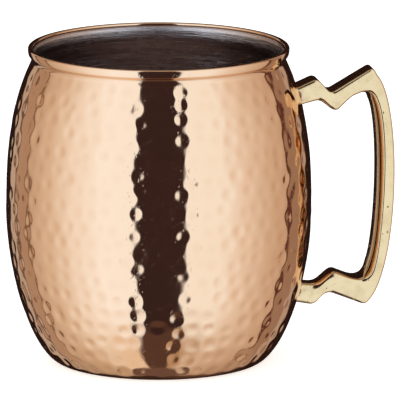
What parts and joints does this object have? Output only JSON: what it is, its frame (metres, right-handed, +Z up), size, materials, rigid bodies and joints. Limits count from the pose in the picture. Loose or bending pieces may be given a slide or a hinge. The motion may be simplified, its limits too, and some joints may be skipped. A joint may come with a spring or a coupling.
{
  "type": "hammered copper mug",
  "caption": "Barrel-shaped hammered copper mug with a smooth steel lining, a rolled rim and an angular cast brass handle.",
  "frame": {"origin": "centre of the base's underside, on the barrel's axis", "axes": "+Z up along the barrel's axis, +X out through the middle of the handle"},
  "size_m": [0.1221, 0.0956, 0.1],
  "materials": {
    "copper": "hammered and polished copper, lacquered",
    "steel": "fine lines brushed round the inside",
    "brass": "polished casting",
    "braze": "satin filler metal"
  },
  "bodies": {
    "root": {"outer_shell": "copper", "inner_liner": "steel", "handle": "brass", "upper_braze": "braze", "lower_braze": "braze"}
  },
  "joints": []
}
